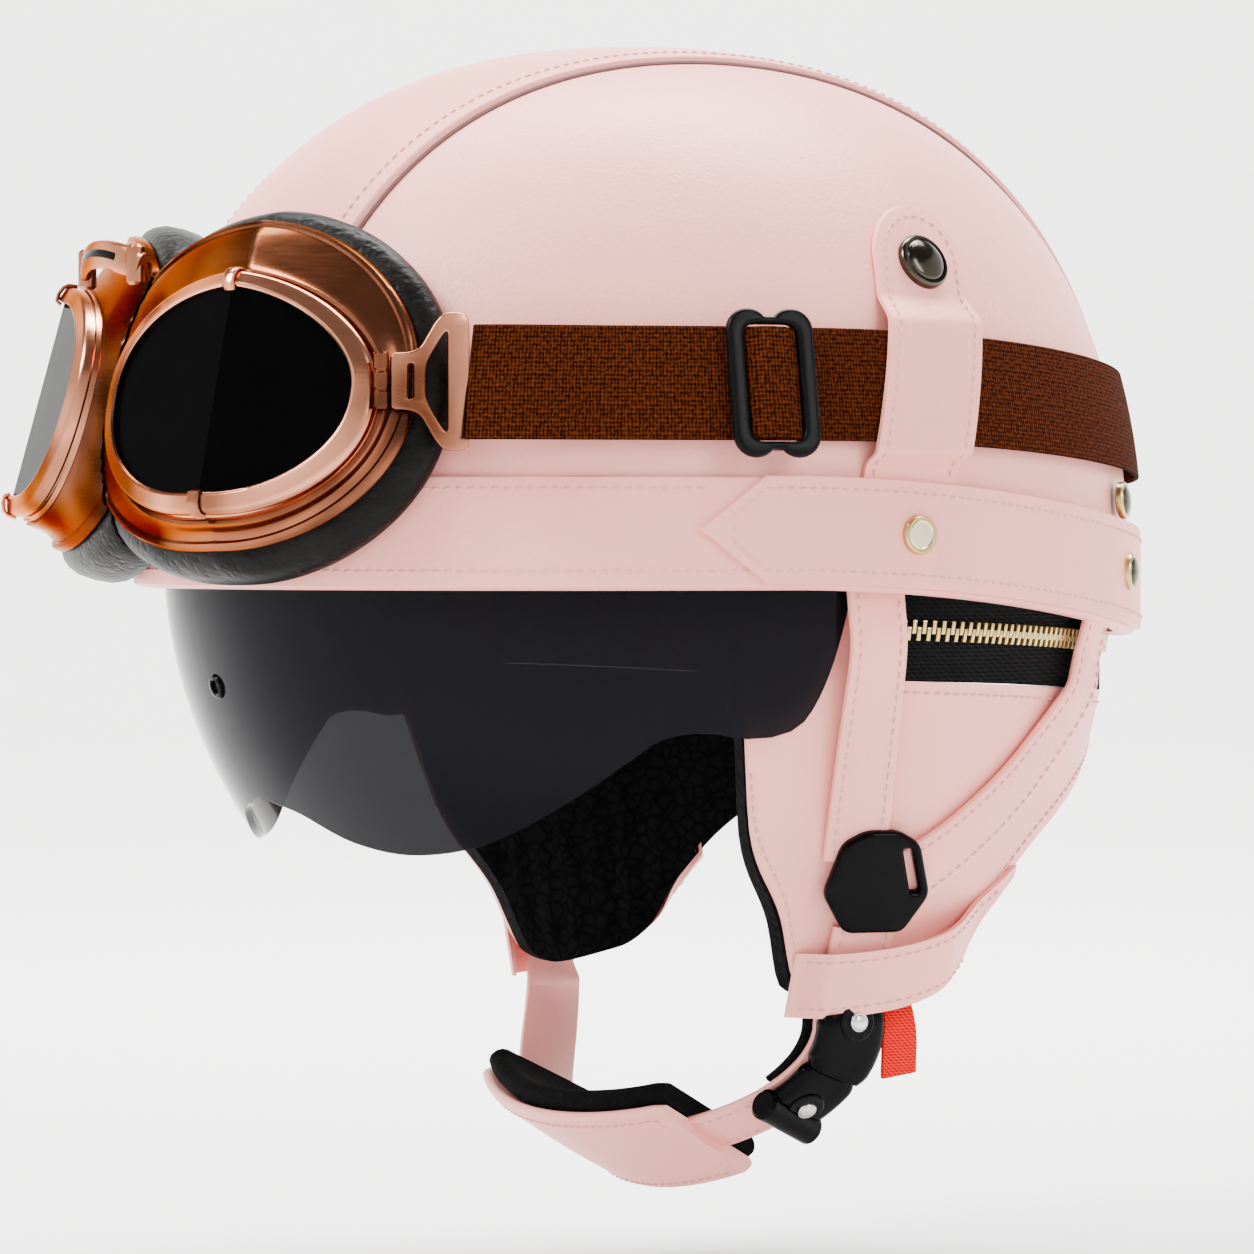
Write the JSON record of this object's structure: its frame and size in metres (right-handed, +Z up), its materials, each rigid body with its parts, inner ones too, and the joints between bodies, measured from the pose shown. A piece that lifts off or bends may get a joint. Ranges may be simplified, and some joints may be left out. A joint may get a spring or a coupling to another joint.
{
  "type": "motorcycle half helmet",
  "caption": "Open-face half helmet in pink leather with split-lens goggles on an elastic strap, a swing-down smoke visor, a zipped neck curtain with ear flaps, and a chin strap.",
  "frame": {"origin": "middle of the head opening, level with the front rim of the hard shell, where a head is seated", "axes": "+Z up through the crown, -Y towards the front, +X towards the wearer's left"},
  "size_m": [0.2495, 0.3095, 0.3078],
  "materials": {
    "shell_leather": "pale pink fine-grained leather over a hard shell",
    "liner": "black comfort lining over foam",
    "pink_leather": "pale pink fine-grained leather",
    "lining": "black padded fabric",
    "zip_tape": "black woven tape",
    "brass": "antique brass",
    "elastic": "rust-brown knitted elastic",
    "black_plastic": "black, glossy",
    "copper": "antique rose-copper plating",
    "dark_lens": "near-black tinted lens",
    "black_leather": "black padded leather",
    "smoke_visor": "dark smoke tint, glossy",
    "dark_metal": "bronze-black plating",
    "ribbon": "red woven ribbon"
  },
  "bodies": {
    "helmet": {"crown_shell": "shell_leather", "liner_crown": "liner", "liner_brow": "liner", "liner_nape": "liner", "liner_side_left": "liner", "liner_side_right": "liner", "crown_panel": "pink_leather", "brim_band": "pink_leather", "rear_band": "pink_leather", "neck_curtain": "pink_leather", "chin_cup": "pink_leather", "keeper_tab_left": "pink_leather", "keeper_tab_right": "pink_leather", "front_strap_left": "pink_leather", "front_strap_right": "pink_leather", "rear_strap_left": "pink_leather", "rear_strap_right": "pink_leather", "belt_loop_left": "pink_leather", "belt_loop_right": "pink_leather", "chin_strap_left": "pink_leather", "chin_strap_right": "pink_leather", "curtain_lining": "lining", "chin_pad": "lining", "zip_tape": "zip_tape", "zip_teeth": "brass", "band_rivet_left": "brass", "band_rivet_right": "brass", "elastic_strap": "elastic", "strap_turnback": "elastic", "strap_slider": "black_plastic", "buckle_housing": "black_plastic", "buckle_slide": "black_plastic", "strap_divider_left": "black_plastic", "strap_divider_right": "black_plastic", "goggle_bridge": "copper", "lens_rim_left": "copper", "lens_rim_right": "copper", "eyecup_left": "copper", "eyecup_right": "copper", "hook_hinge_left": "copper", "hook_hinge_right": "copper", "goggle_hook_left": "copper", "goggle_hook_right": "copper", "goggle_lens_left": "dark_lens", "goggle_lens_right": "dark_lens", "goggle_pad_left": "black_leather", "goggle_pad_right": "black_leather", "keeper_snap_left": "dark_metal", "keeper_snap_right": "dark_metal", "rear_stud_low_left": "dark_metal", "rear_stud_low_right": "dark_metal", "rear_stud_high_left": "dark_metal", "rear_stud_high_right": "dark_metal", "visor_pivot_left": "dark_metal", "visor_pivot_right": "dark_metal", "buckle_rivet_1": "dark_metal", "buckle_rivet_2": "dark_metal", "release_ribbon": "ribbon"},
    "visor": {"sun_visor": "smoke_visor", "visor_knob": "black_plastic"}
  },
  "joints": [
    {"name": "visor_swing", "type": "hinge", "parent": "helmet", "child": "visor", "pos_m": [0, 0.002, 0.01], "axis": [-1, 0, 0], "range_deg": [0, 34]}
  ]
}
